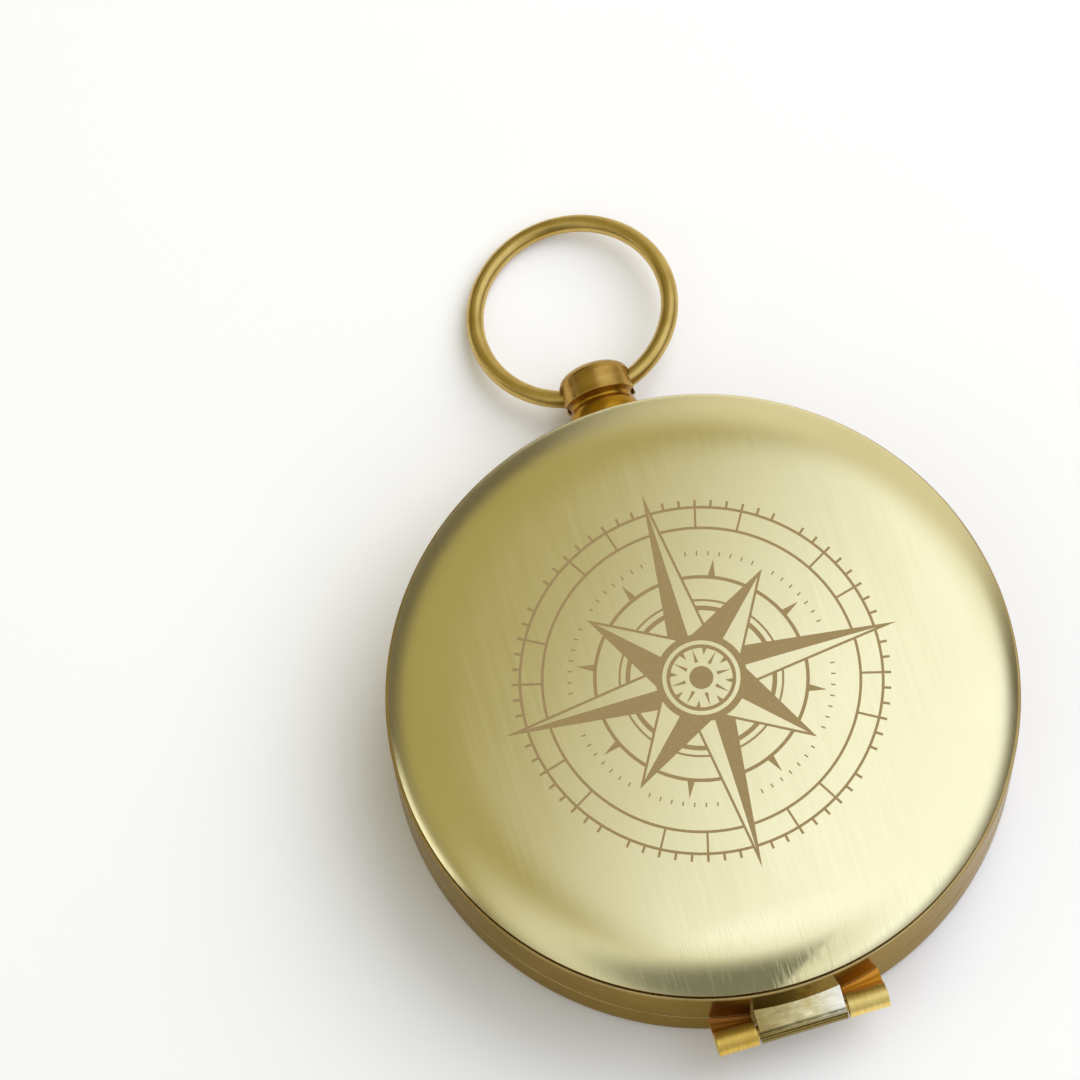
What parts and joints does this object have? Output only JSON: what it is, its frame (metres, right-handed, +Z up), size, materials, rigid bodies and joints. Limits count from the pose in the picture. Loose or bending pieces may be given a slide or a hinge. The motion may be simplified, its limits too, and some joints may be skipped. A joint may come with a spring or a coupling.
{
  "type": "pocket compass",
  "caption": "Round brass pocket compass with a hinged domed lid, a clear turning bezel over a luminous scale, a pivoted needle above a printed dial, and a ring bow on a turned stem.",
  "frame": {"origin": "centre of the case's flat underside, on the surface the closed compass lies on", "axes": "+Z up through the lid's crown, +Y towards the bow, -Y towards the lid's hinge, +X along the hinge pin"},
  "size_m": [0.05, 0.0729, 0.013],
  "materials": {
    "polished_brass": "polished",
    "satin_brass": "satin",
    "clear_plastic": "clear gloss",
    "cream_plastic": "matte",
    "luminous_card": "matte print",
    "luminous_scale": "matte",
    "steel": "ground",
    "black_steel": "satin black",
    "black_plastic": "gloss",
    "jewel": "clear gloss",
    "foam_pad": "foam"
  },
  "bodies": {
    "case": {"case_cup": "polished_brass", "base_pad": "foam_pad", "carrier_ring": "cream_plastic", "capsule_base": "cream_plastic", "capsule_cover": "clear_plastic", "dial_card": "luminous_card", "pivot_bush": "satin_brass", "pivot_pin": "steel", "hinge_knuckle_left": "satin_brass", "hinge_knuckle_right": "satin_brass", "hinge_pin": "satin_brass", "bow_stem": "satin_brass", "stem_nut": "satin_brass"},
    "lid": {"lid_ring": "polished_brass", "lid_cover": "polished_brass", "hinge_knuckle_centre": "satin_brass"},
    "bezel": {"bezel_ring": "clear_plastic", "bezel_scale": "luminous_scale"},
    "needle": {"needle_blade": "black_steel", "needle_jewel": "jewel", "needle_collar": "black_plastic", "needle_lume": "luminous_scale"},
    "bow": {"bow_ring": "satin_brass"}
  },
  "joints": [
    {"name": "lid_hinge", "type": "hinge", "parent": "case", "child": "lid", "pos_m": [0, -0.02625, 0.0048], "axis": [1, 0, 0], "range_deg": [0, 153]},
    {"name": "bezel_turn", "type": "hinge", "parent": "case", "child": "bezel", "pos_m": [0, 0, 0.0086], "axis": [0, 0, 1], "continuous": true},
    {"name": "needle_swing", "type": "hinge", "parent": "case", "child": "needle", "pos_m": [0, 0, 0.006], "axis": [0, 0, 1], "continuous": true},
    {"name": "bow_swing", "type": "hinge", "parent": "case", "child": "bow", "pos_m": [0, 0.02915, 0.0033], "axis": [0.9936, 0, 0.1132], "range_deg": [-85, 105]}
  ]
}
